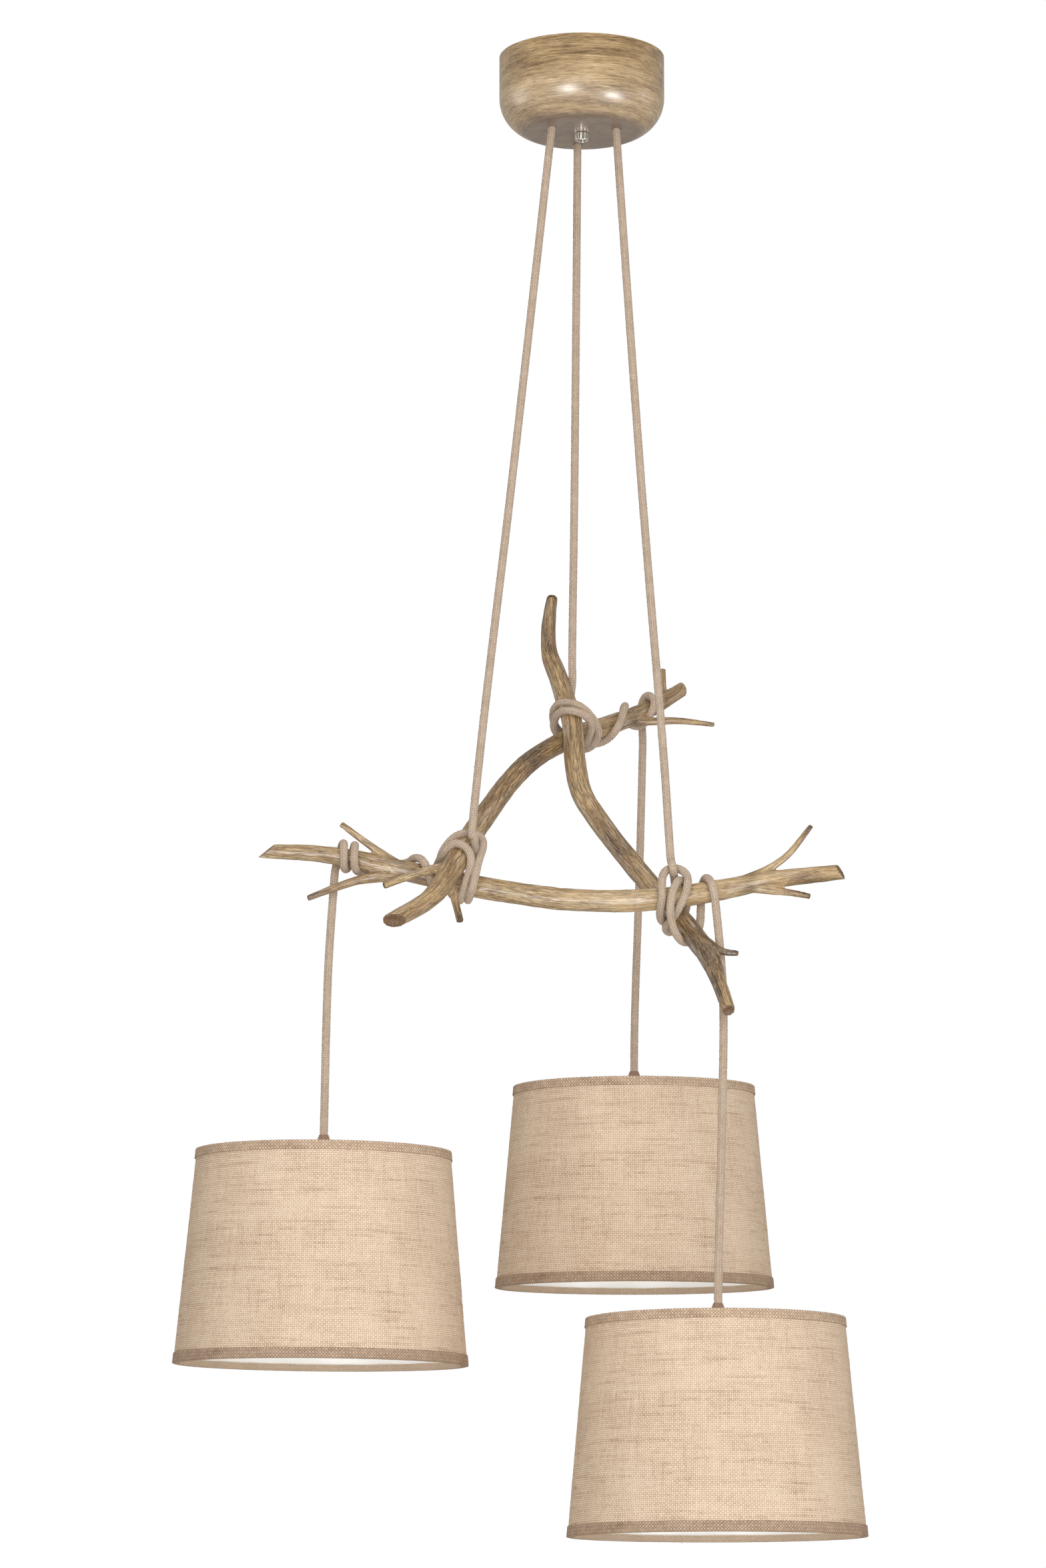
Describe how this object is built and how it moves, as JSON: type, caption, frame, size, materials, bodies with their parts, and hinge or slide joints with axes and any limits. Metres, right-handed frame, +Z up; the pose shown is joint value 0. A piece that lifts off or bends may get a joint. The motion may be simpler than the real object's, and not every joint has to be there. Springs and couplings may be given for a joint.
{
  "type": "fabric pendant light",
  "caption": "Ceiling pendant whose cloth cords leave a round canopy, lash crossed branches together and drop to drum shades of coarse fabric at different heights.",
  "frame": {"origin": "centre of the canopy's top rim, on the ceiling plane, at the top of the centre stud", "axes": "+Z up into the ceiling, -Y towards the viewer of the picture, +X to the viewer's right"},
  "size_m": [0.5118, 0.4796, 1.1469],
  "materials": {
    "canopy_skin": "satin, printed with fine horizontal wood streaks",
    "zinc_steel": "zinc plated, satin",
    "nut_metal": "bronze tinted, knurled",
    "block_plastic": "plain moulded",
    "branch_wood": "barked branch, brushed and lightly varnished, worn edges",
    "cord_cloth": "round knitted cloth sleeve, beige and grey-brown flecks",
    "cap_plastic": "brown, printed wood streaks",
    "holder_plastic": "plain moulded",
    "insert_ceramic": "plain",
    "shade_cloth": "coarse slubbed hessian, light comes through",
    "lining_film": "white, translucent",
    "trim_tape": "folded hessian tape",
    "wire_white": "white lacquer",
    "lamp_metal": "rolled thread shell",
    "lamp_glass": "frosted inside"
  },
  "bodies": {
    "canopy": {"canopy": "canopy_skin", "ceiling_bracket": "zinc_steel", "centre_stud": "zinc_steel", "stud_lock_nut": "zinc_steel", "terminal_block": "block_plastic"},
    "canopy_nut": {"canopy_nut": "nut_metal"},
    "frame": {"branch_front": "branch_wood", "branch_diagonal": "branch_wood", "branch_tall": "branch_wood", "cord_upper_left": "cord_cloth", "cord_stop_left": "holder_plastic", "lashing_left": "cord_cloth", "cord_upper_rear": "cord_cloth", "cord_stop_rear": "holder_plastic", "lashing_rear": "cord_cloth", "cord_upper_right": "cord_cloth", "cord_stop_right": "holder_plastic", "lashing_right": "cord_cloth"},
    "pendant_left": {"cord_drop_left": "cord_cloth", "cord_cap_left": "cap_plastic", "lampholder_left": "holder_plastic", "contact_insert_left": "insert_ceramic"},
    "shade_left": {"shade_fabric_left": "shade_cloth", "shade_lining_left": "lining_film", "trim_top_left": "trim_tape", "trim_bottom_left": "trim_tape", "bottom_ring_left": "wire_white", "shade_carrier_left": "wire_white"},
    "ring_nut_left": {"shade_ring_nut_left": "holder_plastic"},
    "lamp_left": {"lamp_base_left": "lamp_metal", "lamp_glass_left": "lamp_glass"},
    "pendant_rear": {"cord_drop_rear": "cord_cloth", "cord_cap_rear": "cap_plastic", "lampholder_rear": "holder_plastic", "contact_insert_rear": "insert_ceramic"},
    "shade_rear": {"shade_fabric_rear": "shade_cloth", "shade_lining_rear": "lining_film", "trim_top_rear": "trim_tape", "trim_bottom_rear": "trim_tape", "bottom_ring_rear": "wire_white", "shade_carrier_rear": "wire_white"},
    "ring_nut_rear": {"shade_ring_nut_rear": "holder_plastic"},
    "lamp_rear": {"lamp_base_rear": "lamp_metal", "lamp_glass_rear": "lamp_glass"},
    "pendant_right": {"cord_drop_right": "cord_cloth", "cord_cap_right": "cap_plastic", "lampholder_right": "holder_plastic", "contact_insert_right": "insert_ceramic"},
    "shade_right": {"shade_fabric_right": "shade_cloth", "shade_lining_right": "lining_film", "trim_top_right": "trim_tape", "trim_bottom_right": "trim_tape", "bottom_ring_right": "wire_white", "shade_carrier_right": "wire_white"},
    "ring_nut_right": {"shade_ring_nut_right": "holder_plastic"},
    "lamp_right": {"lamp_base_right": "lamp_metal", "lamp_glass_right": "lamp_glass"}
  },
  "joints": [
    {"name": "canopy_nut_turn", "type": "hinge", "parent": "canopy", "child": "canopy_nut", "pos_m": [0, 0, -0.064], "axis": [0, 0, 1], "continuous": true},
    {"name": "frame_sway", "type": "hinge", "parent": "canopy", "child": "frame", "pos_m": [0, 0, -0.0604], "axis": [1, 0, 0], "range_deg": [-2.5, 2.5]},
    {"name": "pendant_left_swing", "type": "hinge", "parent": "frame", "child": "pendant_left", "pos_m": [-0.1872, -0.0545, -0.6523], "axis": [1, 0, 0], "range_deg": [-6, 6]},
    {"name": "shade_left_turn", "type": "hinge", "parent": "pendant_left", "child": "shade_left", "pos_m": [-0.19513, -0.0545, -0.89599], "axis": [0.0192, 0, 0.9998], "continuous": true},
    {"name": "ring_nut_left_turn", "type": "hinge", "parent": "pendant_left", "child": "ring_nut_left", "pos_m": [-0.19525, -0.0545, -0.90199], "axis": [0.0192, 0, 0.9998], "continuous": true},
    {"name": "lamp_left_turn", "type": "hinge", "parent": "pendant_left", "child": "lamp_left", "pos_m": [-0.19536, -0.0545, -0.90799], "axis": [0.0192, 0, 0.9998], "continuous": true},
    {"name": "pendant_rear_swing", "type": "hinge", "parent": "frame", "child": "pendant_rear", "pos_m": [0.0496, 0.161, -0.5173], "axis": [1, 0, 0], "range_deg": [-6, 6]},
    {"name": "shade_rear_turn", "type": "hinge", "parent": "pendant_rear", "child": "shade_rear", "pos_m": [0.0417, 0.161, -0.825], "axis": [0, 0, 1], "continuous": true},
    {"name": "ring_nut_rear_turn", "type": "hinge", "parent": "pendant_rear", "child": "ring_nut_rear", "pos_m": [0.0417, 0.161, -0.831], "axis": [0, 0, 1], "continuous": true},
    {"name": "lamp_rear_turn", "type": "hinge", "parent": "pendant_rear", "child": "lamp_rear", "pos_m": [0.0417, 0.161, -0.837], "axis": [0, 0, 1], "continuous": true},
    {"name": "pendant_right_swing", "type": "hinge", "parent": "frame", "child": "pendant_right", "pos_m": [0.0964, -0.1, -0.6803], "axis": [1, 0, 0], "range_deg": [-3, 6]},
    {"name": "shade_right_turn", "type": "hinge", "parent": "pendant_right", "child": "shade_right", "pos_m": [0.09633, -0.1, -1.0235], "axis": [0.0052, 0, 1], "continuous": true},
    {"name": "ring_nut_right_turn", "type": "hinge", "parent": "pendant_right", "child": "ring_nut_right", "pos_m": [0.0963, -0.1, -1.0295], "axis": [0.0052, 0, 1], "continuous": true},
    {"name": "lamp_right_turn", "type": "hinge", "parent": "pendant_right", "child": "lamp_right", "pos_m": [0.09626, -0.1, -1.0355], "axis": [0.0052, 0, 1], "continuous": true}
  ]
}
